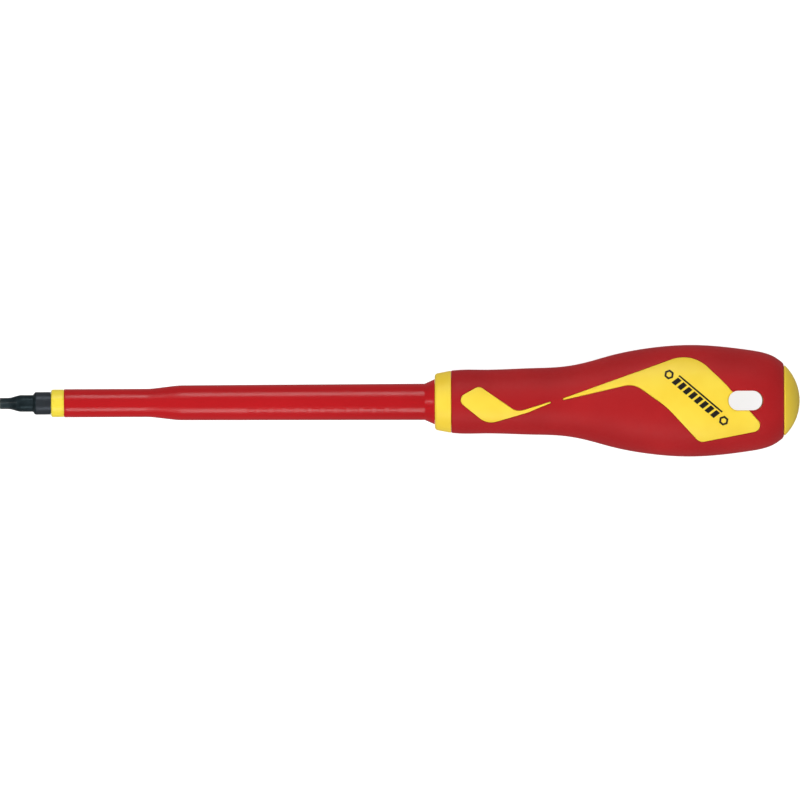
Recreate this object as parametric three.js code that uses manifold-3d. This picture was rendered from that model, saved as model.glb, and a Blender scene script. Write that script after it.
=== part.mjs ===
// Insulated hexagon screwdriver: one steel blade in a two-colour insulating sleeve, and a handle moulded
// in hard and soft plastic with a hanging slot. Millimetres, +Z up. It lies along X with the tip at -X.
// The shaft pieces are turned shapes. The handle is a turned shape that is then pressed a little flat.
import * as THREE from 'three';
import { mergeVertices } from 'three/addons/utils/BufferGeometryUtils.js';
import Module from 'manifold-3d';

const wasm = await Module();
wasm.setup();

// ---------- Driving dimensions: blade, measured from the tip ----------
const BLADE_LENGTH = 125;         // tip to the handle's front face
const HEX_ACROSS_FLATS = 3;
const HEX_TURN = 22;              // degrees that the hexagon is turned about the shaft
const HEX_STRAIGHT = 2.2;         // full-depth flats end here, then the cutter's curve begins
const CUTTER_RADIUS = 6;
const TIP_CHAMFER = 0.28;
const CONE_START = 2.6;
const CONE_END = 6;
const NECK_RADIUS = 2.4;
const NECK_END = 9.5;
const SHANK_RADIUS = 3.25;
const SHANK_START = 10.4;
const SLIM_SHANK_RADIUS = 2.75;   // steel inside the slim part of the sleeve
const ANCHOR_LENGTH = 48;         // steel inside the handle
const WING_SPAN = 9.6;            // flattened wings that stop the steel turning in the handle
const WING_THICKNESS = 2.2;
const WING_LENGTH = 8;
const WING_FROM_FACE = 24;

// ---------- Sleeve: two layers of insulation over the steel ----------
const RING_START = 14.8;          // the inner layer shows as a ring in front of the outer one
const RING_END = 18.4;
const RING_WALL = 1.14;
const RING_EDGE = 0.5;
const INNER_LAYER = 0.53;
const OUTER_LAYER_SLIM = 0.65;
const OUTER_LAYER_FULL = 1.12;
const TAPER_START = 42.4;
const TAPER_END = 52.5;
const SLEEVE_DRAFT = 0.2;         // growth in radius from the taper to the flare
const SLEEVE_EDGE = 0.25;
const FLARE_LENGTH = 2.8;
const FLARE_RISE = 1.3;
const SPIGOT_LENGTH = 15;         // sleeve inside the handle

// ---------- Handle, measured from its front face ----------
const HANDLE_LENGTH = 105;
const BELLY_RADIUS = 16.04;       // widest half-width
const BELLY_PRESS = 0.1;          // the belly is this share thinner than it is wide
const BELLY_SQUARENESS = 0.35;    // added to the exponent 2 of a round section at the belly
const NOSE_WALL = 1.35;           // hard core around the sleeve
const GRIP_WALL = 2.2;            // soft layer over the core
const COLLAR_LENGTH = 4.7;
const COLLAR_FRONT_DROP = 0.9;    // collar's front edge below its rear edge
const COLLAR_EDGE = 0.8;
const CORE_NOSE = 2.5;            // core reaching into the collar
const CAP_HEIGHT = 4.4;
const CAP_INSET = 0.27;           // cap's rim below the grip's rear edge
const CAP_SPIGOT_RADIUS = 5.5;
const CAP_SPIGOT_LENGTH = 3.8;
const SLOT_LENGTH = 9.9;
const SLOT_WIDTH = 5.6;
const SLOT_CORNER = 2.75;
const SLOT_FROM_END = 15.6;       // slot's centre to the handle's rear end

// ---------- Clearances and mesh fineness ----------
const SLIDE_GAP = 0.06;           // between turned pieces, one inside the other
const FACE_GAP = 0.1;             // between end faces
const SKIN_GAP = 0.12;            // between the core and the soft layer
const INLAY_GAP = 0.12;           // around an inlay in its window
const WING_GAP = 0.3;             // around the wings in the core
const SHAFT_SIDES = 24;
const HANDLE_SIDES = 30;          // even but not a multiple of 4: a corner at each flank, a flat at each face
const GRIP_STATIONS_PER_SPAN = 2;

// Grip's outline: [way along the grip, rise from neck to belly], both from 0 to 1
const GRIP_FORM = [
  [0, 0], [0.013, 0.018], [0.096, 0.031], [0.243, 0.087], [0.339, 0.148], [0.411, 0.331],
  [0.483, 0.599], [0.556, 0.804], [0.63, 0.938], [0.724, 1], [0.797, 0.952], [0.891, 0.801],
  [0.944, 0.663], [0.976, 0.479], [1, 0.24],
];

// Inlay windows: corners [way along the grip, side of the axis as a share of the belly, corner radius mm]
const FRONT_WINDOW = [
  [0.0125, 0.05, 2], [0.0842, 0.287, 2], [0.1977, -0.191, 4], [0.299, -0.003, 0.2],
  [0.299, -0.034, 0.2], [0.227, -0.212, 20], [0.108, -0.417, 5.5],
];
const REAR_WINDOW = [
  [0.3358, 0.055, 0.25], [0.7238, 0.878, 11], [0.818, 0.343, 30], [0.9465, -0.527, 2],
  [0.746, -0.757, 2.6], [0.6454, -0.106, 25], [0.5481, 0.312, 6], [0.3358, 0.019, 0.25],
];

// ---------- Derived places along the tool ----------
const TOTAL_LENGTH = BLADE_LENGTH + HANDLE_LENGTH;
const SLEEVE_RADIUS = SHANK_RADIUS + INNER_LAYER + OUTER_LAYER_FULL + 2 * SLIDE_GAP;
const REAR_SLEEVE_RADIUS = SLEEVE_RADIUS + SLEEVE_DRAFT;
const SLEEVE_BORE = REAR_SLEEVE_RADIUS + SLIDE_GAP;
const CORE_NOSE_RADIUS = SLEEVE_BORE + NOSE_WALL;
const NECK_OF_GRIP = CORE_NOSE_RADIUS + SKIN_GAP + GRIP_WALL;
const GRIP_START = BLADE_LENGTH + COLLAR_LENGTH + FACE_GAP;
const GRIP_END = TOTAL_LENGTH - CAP_HEIGHT - 2 * FACE_GAP;
const CORE_START = BLADE_LENGTH + COLLAR_LENGTH - CORE_NOSE;
const CORE_END = GRIP_END - 2 * FACE_GAP;
const CAP_BASE = TOTAL_LENGTH - CAP_HEIGHT;
const SLOT_CENTRE = TOTAL_LENGTH - SLOT_FROM_END;
const BELLY_POWER = 2 / (2 + BELLY_SQUARENESS);
const REST_HEIGHT = BELLY_RADIUS * (1 - BELLY_PRESS) * Math.cos(Math.PI / HANDLE_SIDES) ** BELLY_POWER;

const formAt = new THREE.CubicInterpolant(
  GRIP_FORM.map(([along]) => along), GRIP_FORM.map(([, rise]) => rise), 1,
);

// Share of the rise from neck to belly at a place along the tool
function riseAt(x) {
  const along = THREE.MathUtils.clamp((x - GRIP_START) / (GRIP_END - GRIP_START), 0, 1);
  return formAt.evaluate(along)[0];
}

function gripRadius(x) {
  return NECK_OF_GRIP + (BELLY_RADIUS - NECK_OF_GRIP) * riseAt(x);
}

// Places along the grip between two limits, closest where the outline's points are
function gripStations(from, to) {
  const stations = [from];
  for (let span = 0; span + 1 < GRIP_FORM.length; span += 1) {
    for (let step = 0; step < GRIP_STATIONS_PER_SPAN; step += 1) {
      const along = THREE.MathUtils.lerp(
        GRIP_FORM[span][0], GRIP_FORM[span + 1][0], step / GRIP_STATIONS_PER_SPAN,
      );
      const x = THREE.MathUtils.lerp(GRIP_START, GRIP_END, along);
      if (x > from + SLIDE_GAP && x < to - SLIDE_GAP) stations.push(x);
    }
  }
  stations.push(to);
  return stations;
}

// ---------- Solids ----------
function toSolid(geometry) {
  geometry.deleteAttribute('normal');
  geometry.deleteAttribute('uv');
  const merged = mergeVertices(geometry, 1e-4);
  return new wasm.Manifold(new wasm.Mesh({
    numProp: 3,
    vertProperties: Float32Array.from(merged.attributes.position.array),
    triVerts: Uint32Array.from(merged.index.array),
  }));
}

function toGeometry(solid) {
  const mesh = solid.getMesh();
  const geometry = new THREE.BufferGeometry();
  geometry.setAttribute('position', new THREE.BufferAttribute(mesh.vertProperties, 3));
  geometry.setIndex(new THREE.BufferAttribute(mesh.triVerts, 1));
  return geometry;
}

// Solid of revolution about X from [x, radius] points that run from the tip's side to the handle's side,
// with its first corners on the flanks
function turned(points, sides = SHAFT_SIDES) {
  const profile = points.map(([x, radius]) => new THREE.Vector2(radius, x));
  const geometry = new THREE.LatheGeometry(profile, sides);
  geometry.rotateZ(-Math.PI / 2);
  geometry.rotateX(Math.PI / 2);
  return geometry;
}

// Ring of revolution: the outer points towards the handle, then the inner ones back
function turnedRing(outer, inner, sides = SHAFT_SIDES) {
  return turned([...outer, ...inner.toReversed(), outer[0]], sides);
}

// Makes the round section a flatter, squarer one where the handle is fullest
function pressed(geometry) {
  const place = geometry.attributes.position;
  for (let i = 0; i < place.count; i += 1) {
    const radius = Math.hypot(place.getY(i), place.getZ(i));
    const rise = riseAt(place.getX(i));
    const power = 2 / (2 + BELLY_SQUARENESS * rise);
    const bent = (side) => Math.sign(side) * Math.abs(side) ** power * radius;
    if (radius > 0) {
      place.setY(i, bent(place.getY(i) / radius));
      place.setZ(i, bent(place.getZ(i) / radius) * (1 - BELLY_PRESS * rise));
    }
  }
  return geometry;
}

// Outline with rounded corners, from [x, y, radius] corners in order
function filletedShape(corners) {
  const shape = new THREE.Shape();
  corners.forEach(([x, y, radius], i) => {
    const corner = new THREE.Vector2(x, y);
    const before = new THREE.Vector2(...corners.at(i - 1)).sub(corner);
    const after = new THREE.Vector2(...corners[(i + 1) % corners.length]).sub(corner);
    const halfAngle = before.angleTo(after) / 2;
    const setback = Math.min(radius / Math.tan(halfAngle), before.length() / 2, after.length() / 2);
    const start = corner.clone().addScaledVector(before.normalize(), setback);
    const end = corner.clone().addScaledVector(after.normalize(), setback);
    if (i === 0) shape.moveTo(start.x, start.y);
    else shape.lineTo(start.x, start.y);
    shape.quadraticCurveTo(corner.x, corner.y, end.x, end.y);
  });
  shape.closePath();
  return shape;
}

// Upright prism over an outline, from one height to another
function prism(shape, from, to, curveSegments = 4) {
  const geometry = new THREE.ExtrudeGeometry(shape, { depth: to - from, bevelEnabled: false, curveSegments });
  geometry.translate(0, 0, from);
  return toSolid(geometry);
}

function box(from, to) {
  const size = to.map((high, i) => high - from[i]);
  const geometry = new THREE.BoxGeometry(...size);
  geometry.translate(...from.map((low, i) => low + size[i] / 2));
  return toSolid(geometry);
}

// Points on a rounded edge: a quarter arc that rises from the front face to the side
function roundedEdge(x, radius, edge, steps = 3) {
  return Array.from({ length: steps + 1 }, (_, i) => {
    const angle = (i / steps) * (Math.PI / 2);
    return [x + edge * (1 - Math.cos(angle)), radius - edge * (1 - Math.sin(angle))];
  });
}

// [x, radius] points through the taper, where a slim radius grows smoothly into a full one
function taper(slim, full, steps = 6) {
  return Array.from({ length: steps + 1 }, (_, i) => {
    const x = THREE.MathUtils.lerp(TAPER_START, TAPER_END, i / steps);
    return [x, THREE.MathUtils.lerp(slim, full, THREE.MathUtils.smoothstep(x, TAPER_START, TAPER_END))];
  });
}

// ---------- Blade ----------
// Cutter that mills one flat of the hexagon and runs out along its own curve
function hexCutter() {
  const flat = HEX_ACROSS_FLATS / 2;
  const shape = new THREE.Shape();
  shape.moveTo(-1, flat);
  shape.lineTo(HEX_STRAIGHT, flat);
  shape.absarc(HEX_STRAIGHT, flat + CUTTER_RADIUS, CUTTER_RADIUS, -Math.PI / 2, 0, false);
  shape.lineTo(-1, flat + CUTTER_RADIUS);
  return prism(shape, -HEX_ACROSS_FLATS, HEX_ACROSS_FLATS, 16);
}

// Wings in the flat of the handle, grown on every side by a clearance
function wings(clearance) {
  const front = BLADE_LENGTH + WING_FROM_FACE - clearance;
  const rear = front + WING_LENGTH + 2 * clearance;
  const side = WING_SPAN / 2 + clearance;
  const slope = side - SHANK_RADIUS / 2;
  const shape = new THREE.Shape([
    new THREE.Vector2(front, -SHANK_RADIUS / 2), new THREE.Vector2(front + slope / 2, -side),
    new THREE.Vector2(rear - slope / 2, -side), new THREE.Vector2(rear, -SHANK_RADIUS / 2),
    new THREE.Vector2(rear, SHANK_RADIUS / 2), new THREE.Vector2(rear - slope / 2, side),
    new THREE.Vector2(front + slope / 2, side), new THREE.Vector2(front, SHANK_RADIUS / 2),
  ]);
  return prism(shape, -WING_THICKNESS / 2 - clearance, WING_THICKNESS / 2 + clearance);
}

function blade() {
  const corner = HEX_ACROSS_FLATS / Math.sqrt(3);
  const end = BLADE_LENGTH + ANCHOR_LENGTH;
  const shoulder = SHANK_START - NECK_END;
  let steel = toSolid(turned([
    [0, 0], [0, corner - TIP_CHAMFER], [TIP_CHAMFER, corner], [CONE_START, corner],
    [CONE_END, NECK_RADIUS], [NECK_END - shoulder / 4, NECK_RADIUS],
    [NECK_END + shoulder / 4, THREE.MathUtils.lerp(NECK_RADIUS, SHANK_RADIUS, 0.25)],
    [SHANK_START - shoulder / 3, THREE.MathUtils.lerp(NECK_RADIUS, SHANK_RADIUS, 0.85)],
    [SHANK_START, SHANK_RADIUS], [RING_START - FACE_GAP, SHANK_RADIUS],
    [RING_START - FACE_GAP, SLIM_SHANK_RADIUS], ...taper(SLIM_SHANK_RADIUS, SHANK_RADIUS),
    [end - SHANK_RADIUS / 3, SHANK_RADIUS], [end, SHANK_RADIUS * 2 / 3], [end, 0],
  ]));
  const cutter = hexCutter();
  for (let side = 0; side < 6; side += 1) {
    steel = steel.subtract(cutter.rotate([HEX_TURN + side * 60, 0, 0]));
  }
  return steel.add(wings(0));
}

// ---------- Insulation ----------
function innerInsulation() {
  const end = BLADE_LENGTH + SPIGOT_LENGTH;
  const slimBore = SLIM_SHANK_RADIUS + SLIDE_GAP;
  const fullBore = SHANK_RADIUS + SLIDE_GAP;
  return toSolid(turnedRing(
    [
      ...roundedEdge(RING_START, slimBore + RING_WALL, RING_EDGE), [RING_END, slimBore + RING_WALL],
      [RING_END, slimBore + INNER_LAYER], ...taper(slimBore + INNER_LAYER, fullBore + INNER_LAYER),
      [end, fullBore + INNER_LAYER],
    ],
    [[RING_START, slimBore], ...taper(slimBore, fullBore), [end, fullBore]],
  ));
}

function outerInsulation() {
  const start = RING_END + FACE_GAP;
  const end = BLADE_LENGTH + SPIGOT_LENGTH;
  const slimBore = SLIM_SHANK_RADIUS + INNER_LAYER + 2 * SLIDE_GAP;
  const fullBore = SHANK_RADIUS + INNER_LAYER + 2 * SLIDE_GAP;
  const slim = slimBore + OUTER_LAYER_SLIM;
  return toSolid(turnedRing(
    [
      ...roundedEdge(start, slim, SLEEVE_EDGE), ...taper(slim, SLEEVE_RADIUS),
      [BLADE_LENGTH - FLARE_LENGTH, REAR_SLEEVE_RADIUS],
      [BLADE_LENGTH, REAR_SLEEVE_RADIUS + FLARE_RISE], [BLADE_LENGTH, REAR_SLEEVE_RADIUS],
      [end, REAR_SLEEVE_RADIUS],
    ],
    [[start, slimBore], ...taper(slimBore, fullBore), [end, fullBore]],
  ));
}

// ---------- Handle ----------
function frontCollar() {
  const start = BLADE_LENGTH + FACE_GAP;
  const end = BLADE_LENGTH + COLLAR_LENGTH;
  const step = CORE_START - FACE_GAP;
  const counterbore = CORE_NOSE_RADIUS + SLIDE_GAP;
  return toSolid(turnedRing(
    [...roundedEdge(start, NECK_OF_GRIP - COLLAR_FRONT_DROP, COLLAR_EDGE, 4), [end, NECK_OF_GRIP]],
    [[start, SLEEVE_BORE], [step, SLEEVE_BORE], [step, counterbore], [end, counterbore]],
    HANDLE_SIDES,
  ));
}

// Hanging slot, through the handle from face to face
function slotCutter() {
  const [low, high] = [SLOT_CENTRE - SLOT_LENGTH / 2, SLOT_CENTRE + SLOT_LENGTH / 2];
  const side = SLOT_WIDTH / 2;
  const shape = filletedShape([
    [low, -side, SLOT_CORNER], [high, -side, SLOT_CORNER], [high, side, SLOT_CORNER],
    [low, side, SLOT_CORNER],
  ]);
  return prism(shape, -2 * BELLY_RADIUS, 2 * BELLY_RADIUS);
}

function handleCore() {
  const skin = gripStations(CORE_START, CORE_END)
    .map((x) => [x, gripRadius(x) - GRIP_WALL - SKIN_GAP]);
  const outside = toSolid(pressed(turned([[CORE_START, 0], ...skin, [CORE_END, 0]], HANDLE_SIDES)));
  const shankBore = SHANK_RADIUS + SLIDE_GAP;
  const sleeveEnd = BLADE_LENGTH + SPIGOT_LENGTH + FACE_GAP;
  const steelEnd = BLADE_LENGTH + ANCHOR_LENGTH + FACE_GAP;
  const bores = toSolid(turned([
    [CORE_START - 1, 0], [CORE_START - 1, SLEEVE_BORE], [sleeveEnd, SLEEVE_BORE],
    [sleeveEnd, shankBore], [steelEnd, shankBore], [steelEnd, 0],
  ]));
  const pocket = toSolid(turned([
    [CAP_BASE - CAP_SPIGOT_LENGTH - FACE_GAP, 0],
    [CAP_BASE - CAP_SPIGOT_LENGTH - FACE_GAP, CAP_SPIGOT_RADIUS + SLIDE_GAP],
    [TOTAL_LENGTH, CAP_SPIGOT_RADIUS + SLIDE_GAP], [TOTAL_LENGTH, 0],
  ]));
  return outside.subtract(bores).subtract(wings(WING_GAP)).subtract(pocket).subtract(slotCutter());
}

// The layer over the core, still whole: the soft grip and the inlays share it
function handleSkin() {
  const stations = gripStations(GRIP_START, GRIP_END);
  return toSolid(pressed(turnedRing(
    stations.map((x) => [x, gripRadius(x)]),
    stations.map((x) => [x, gripRadius(x) - GRIP_WALL]),
    HANDLE_SIDES,
  ))).subtract(slotCutter());
}

// Window corners in millimetres, moved inwards by a clearance
function windowCorners(form, clearance) {
  const corners = form.map(([along, side]) => new THREE.Vector2(
    THREE.MathUtils.lerp(GRIP_START, GRIP_END, along), side * BELLY_RADIUS,
  ));
  const turn = Math.sign(THREE.ShapeUtils.area(corners));
  return corners.map((corner, i) => {
    const before = corners.at(i - 1).clone().sub(corner).normalize();
    const after = corners[(i + 1) % corners.length].clone().sub(corner).normalize();
    const bend = turn * after.cross(before);
    const inward = before.clone().add(after).normalize().multiplyScalar(Math.sign(bend));
    const reach = clearance / Math.sin(before.angleTo(after) / 2);
    return [corner.x + inward.x * reach, corner.y + inward.y * reach, form[i][2]];
  });
}

// Prism over a window, from the axis out through the upper face
function windowPrism(form, clearance) {
  return prism(filletedShape(windowCorners(form, clearance)), 0, 2 * BELLY_RADIUS);
}

function softGrip() {
  let grip = handleSkin();
  for (const form of [FRONT_WINDOW, REAR_WINDOW]) {
    const opening = windowPrism(form, 0);
    grip = grip.subtract(opening).subtract(opening.rotate([180, 0, 0]));
  }
  return grip;
}

// Inlay that fills a window of the upper face, or turned half round the shaft for the lower one
function inlay(form, turnDegrees) {
  return handleSkin().intersect(windowPrism(form, INLAY_GAP)).rotate([turnDegrees, 0, 0]);
}

function endCap() {
  const rim = gripRadius(GRIP_END) - CAP_INSET;
  const sphere = (rim ** 2 + CAP_HEIGHT ** 2) / (2 * CAP_HEIGHT);
  const widest = Math.asin(rim / sphere);
  const steps = 8;
  const dome = Array.from({ length: steps + 1 }, (_, i) => {
    const angle = widest * (1 - i / steps);
    return [TOTAL_LENGTH - sphere * (1 - Math.cos(angle)), sphere * Math.sin(angle)];
  });
  const spigotStart = CAP_BASE - CAP_SPIGOT_LENGTH;
  return toSolid(turned([
    [spigotStart, 0], [spigotStart, CAP_SPIGOT_RADIUS], [CAP_BASE, CAP_SPIGOT_RADIUS], ...dome,
  ], HANDLE_SIDES));
}

// ---------- Materials and the finished tool ----------
const STEEL = { color: 0x33393b, roughness: 0.38, metalness: 0.9 };
const RED_INSULATION = { color: 0xb92024, roughness: 0.3, metalness: 0 };
const RED_SOFT = { color: 0xb4282c, roughness: 0.62, metalness: 0 };
const YELLOW_HARD = { color: 0xf2d84e, roughness: 0.45, metalness: 0 };

const tool = new THREE.Group();

// Puts a solid into the tool with the frame's origin under the middle of the tool, at rest height
function addPiece(name, solid, look) {
  const mesh = new THREE.Mesh(toGeometry(solid), new THREE.MeshStandardMaterial(look));
  mesh.name = name;
  mesh.position.set(-TOTAL_LENGTH / 2, 0, REST_HEIGHT);
  tool.add(mesh);
}

addPiece('blade', blade(), STEEL);
addPiece('inner_insulation', innerInsulation(), YELLOW_HARD);
addPiece('outer_insulation', outerInsulation(), RED_INSULATION);
addPiece('front_collar', frontCollar(), YELLOW_HARD);
addPiece('handle_core', handleCore(), YELLOW_HARD);
addPiece('soft_grip', softGrip(), RED_SOFT);
for (const [face, turnDegrees] of [['upper', 0], ['lower', 180]]) {
  addPiece(`front_inlay_${face}`, inlay(FRONT_WINDOW, turnDegrees), YELLOW_HARD);
  addPiece(`rear_inlay_${face}`, inlay(REAR_WINDOW, turnDegrees), YELLOW_HARD);
}
addPiece('end_cap', endCap(), YELLOW_HARD);

export default tool;
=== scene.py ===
"""Insulated hexagon screwdriver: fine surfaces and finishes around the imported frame.

Shapes are worked out in millimetres, with X running from the tip to the handle's end, Y across the tool
and Z up through the hanging slot, all measured from the tip's end on the shaft's axis. to_frame() turns
that into the frame's metres.
"""
import math

import bmesh
import bpy
import numpy as np
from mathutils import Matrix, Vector
from mathutils.geometry import delaunay_2d_cdt


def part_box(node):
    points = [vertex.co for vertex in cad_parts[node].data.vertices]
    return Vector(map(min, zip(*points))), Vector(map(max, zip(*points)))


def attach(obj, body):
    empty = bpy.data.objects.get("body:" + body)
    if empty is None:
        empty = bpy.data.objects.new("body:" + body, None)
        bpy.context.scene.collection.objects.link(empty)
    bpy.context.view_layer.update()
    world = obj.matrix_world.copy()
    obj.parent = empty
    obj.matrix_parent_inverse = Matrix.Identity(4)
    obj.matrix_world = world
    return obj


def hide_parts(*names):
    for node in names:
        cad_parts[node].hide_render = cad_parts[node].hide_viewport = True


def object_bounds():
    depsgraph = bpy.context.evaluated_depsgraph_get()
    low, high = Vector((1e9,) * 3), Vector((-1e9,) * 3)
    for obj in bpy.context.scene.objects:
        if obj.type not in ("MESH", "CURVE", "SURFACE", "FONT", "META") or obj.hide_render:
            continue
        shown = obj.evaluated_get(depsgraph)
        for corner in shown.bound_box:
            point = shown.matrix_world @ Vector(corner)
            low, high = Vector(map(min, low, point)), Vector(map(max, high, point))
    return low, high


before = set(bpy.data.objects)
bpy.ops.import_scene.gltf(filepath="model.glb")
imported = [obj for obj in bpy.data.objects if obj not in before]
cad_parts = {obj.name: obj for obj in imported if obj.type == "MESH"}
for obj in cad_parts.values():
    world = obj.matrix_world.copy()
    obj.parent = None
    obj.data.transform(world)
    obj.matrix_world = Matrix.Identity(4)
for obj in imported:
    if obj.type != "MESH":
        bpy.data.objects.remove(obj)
cad_low, cad_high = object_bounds()

MM = 0.001


def frame_mm(node):
    """Lowest and highest corner of a CAD node in millimetres from the tip's end and the shaft's axis."""
    low, high = (np.array(corner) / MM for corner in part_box(node))
    return low - ORIGIN, high - ORIGIN


# The axis runs through the middle of the collar, and X counts from the blade's front end
ORIGIN = np.zeros(3)
_blade_low, _ = frame_mm("blade")
_collar_low, _collar_high = frame_mm("front_collar")
ORIGIN = np.array([_blade_low[0], 0.0, (_collar_low[2] + _collar_high[2]) / 2])

# ---------- Sizes read from the frame ----------
RING_START = frame_mm("inner_insulation")[0][0]
RING_RADIUS = frame_mm("inner_insulation")[1][1]
SLEEVE_START = frame_mm("outer_insulation")[0][0]
SPIGOT_END = frame_mm("outer_insulation")[1][0]
FLARE_RADIUS = frame_mm("outer_insulation")[1][1]
COLLAR_START, COLLAR_END = (corner[0] for corner in frame_mm("front_collar"))
COLLAR_RADIUS = frame_mm("front_collar")[1][1]
GRIP_START, GRIP_END = (corner[0] for corner in frame_mm("soft_grip"))
BELLY_RADIUS = frame_mm("soft_grip")[1][1]
BELLY_HEIGHT = frame_mm("rear_inlay_upper")[1][2] - 0.015      # leaves room for the print
CAP_START, CAP_END = (corner[0] for corner in frame_mm("end_cap"))
CAP_RIM = frame_mm("end_cap")[1][1]
STEEL_END = frame_mm("blade")[1][0]

# ---------- Gaps between pieces ----------
SLIDE_GAP = 0.06        # round the steel and the sleeve
FACE_GAP = 0.1          # between faces that meet end to end, out of sight
VISIBLE_SEAM = 0.03     # between faces that meet end to end, in sight
SKIN_GAP = 0.12         # between the core and the soft layer
SEAM = 0.05             # half the seam between a window and its inlay

# ---------- Blade, from the tip's end ----------
HEX_ACROSS_FLATS = 3.0
HEX_TURN = math.radians(22)
HEX_STRAIGHT = 2.2
CUTTER_RADIUS = 6.0
TIP_CHAMFER = 0.28
CONE_START, CONE_END = 2.6, 6.0
NECK_RADIUS, NECK_END = 2.4, 9.5
SHANK_RADIUS, SHANK_START = 3.25, 10.4
SLIM_SHANK_RADIUS = 2.75
BLADE_SIDES = 240

# ---------- Sleeve ----------
RING_END = SLEEVE_START - VISIBLE_SEAM
INNER_LAYER = 0.53
SLIM_SLEEVE_RADIUS, SLEEVE_RADIUS, SLEEVE_DRAFT = 4.05, 5.02, 0.2
WIDEST_SLEEVE = SLEEVE_RADIUS + SLEEVE_DRAFT
TAPER_START, TAPER_END = 42.4, 52.5
TAPER_ROUNDING = 26
FLARE_START = COLLAR_START - FACE_GAP - 2.8

# Dashes on the sleeve
MARK_FIRST, MARK_PITCH, MARK_COUNT = 72.5, 3.7, 12
MARK_LENGTH, MARK_WIDTH, MARK_RISE = 2.5, 1.3, 0.06
MARK_TURN = math.radians(-27)

# ---------- Handle ----------
BELLY_SQUARENESS = 0.35
NECK_OF_GRIP = COLLAR_RADIUS
GRIP_WALL = 2.2
SLOT_CENTRE = CAP_END - 15.6
SLOT_LENGTH, SLOT_WIDTH, SLOT_CORNER = 9.9, 5.6, 2.75
SEAM_EDGE = 0.16        # radius of the edges along the inlays' seams
SLOT_EDGE = 0.55        # radius of the slot's mouth
GRIP_FRONT_EDGE, GRIP_REAR_EDGE = 0.35, 0.5
CAP_SPIGOT_RADIUS = 5.5

# Grip's outline: way along the grip, and rise from neck to belly
GRIP_FORM = np.array([
    [0, 0], [0.013, 0.018], [0.096, 0.031], [0.243, 0.087], [0.339, 0.148], [0.411, 0.331],
    [0.483, 0.599], [0.556, 0.804], [0.63, 0.938], [0.724, 1], [0.797, 0.952], [0.891, 0.801],
    [0.944, 0.663], [0.976, 0.479], [1, 0.24],
])

# Window corners: way along the grip, side of the axis as a share of the belly, corner radius in mm
FRONT_WINDOW = np.array([
    [0.0125, 0.05, 2], [0.0842, 0.287, 2], [0.1977, -0.191, 4], [0.299, -0.003, 0.2],
    [0.299, -0.034, 0.2], [0.227, -0.212, 20], [0.108, -0.417, 5.5],
])
REAR_WINDOW = np.array([
    [0.3358, 0.055, 0.25], [0.7238, 0.878, 11], [0.818, 0.343, 30], [0.9465, -0.527, 2],
    [0.746, -0.757, 2.6], [0.6454, -0.106, 25], [0.5481, 0.312, 6], [0.3358, 0.019, 0.25],
])

# Printed row, in mm along and across it, from its start on the upper rear inlay
PRINT_START, PRINT_END = np.array([191.4, 8.4]), np.array([209.0, -6.6])
PRINT_LIFT, PRINT_DEPTH = 0.012, 0.01

# ---------- Fineness of the meshes, in mm ----------
WELD_REACH = 0.004
OUTLINE_STEP = 0.28                                # along the outlines of windows and slot
GRID = 0.62                                        # between the points of a patch
EDGE_RINGS = np.array([0.06, 0.22, 0.5, 0.95])     # shares of an edge's radius at which it gets a ring
END_RINGS = np.array([0.0, 0.05, 0.2, 0.5, 1.0])   # the same for the grip's end edges
HALF_TURN_STEPS = 74                               # round half of the handle


# ---------- Mesh helpers ----------
def to_frame(points):
    """Millimetres from the tip and the axis, as metres in the frame."""
    return (np.asarray(points, dtype=float) + ORIGIN) * MM


def build(name, points, faces, sharp_degrees=35, weld=False):
    """A piece from points in mm and faces as index rows, with its normals outward.

    Edges that bend more than the angle stay sharp. Welding joins points that lie in the same place.
    """
    mesh = bpy.data.meshes.new(name)
    mesh.from_pydata(to_frame(points).tolist(), [], [list(map(int, face)) for face in faces])
    work = bmesh.new()
    work.from_mesh(mesh)
    if weld:
        bmesh.ops.remove_doubles(work, verts=work.verts, dist=WELD_REACH * MM)
    bmesh.ops.recalc_face_normals(work, faces=work.faces)
    work.to_mesh(mesh)
    work.free()
    mesh.shade_smooth()
    mesh.set_sharp_from_angle(angle=math.radians(sharp_degrees))
    piece = bpy.data.objects.new(name, mesh)
    bpy.context.scene.collection.objects.link(piece)
    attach(piece, "root")
    return piece


def grid_faces(rows, columns, close_rows=False, close_columns=True):
    """Quads of a grid numbered row by row, wrapped round in either direction."""
    i = np.arange(rows if close_rows else rows - 1)[:, None]
    j = np.arange(columns if close_columns else columns - 1)[None, :]
    down, right = (i + 1) % rows, (j + 1) % columns
    corners = [i * columns + j, i * columns + right, down * columns + right, down * columns + j]
    return np.stack([np.broadcast_to(c, (len(i), j.shape[1])) for c in corners], axis=-1).reshape(-1, 4)


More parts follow.
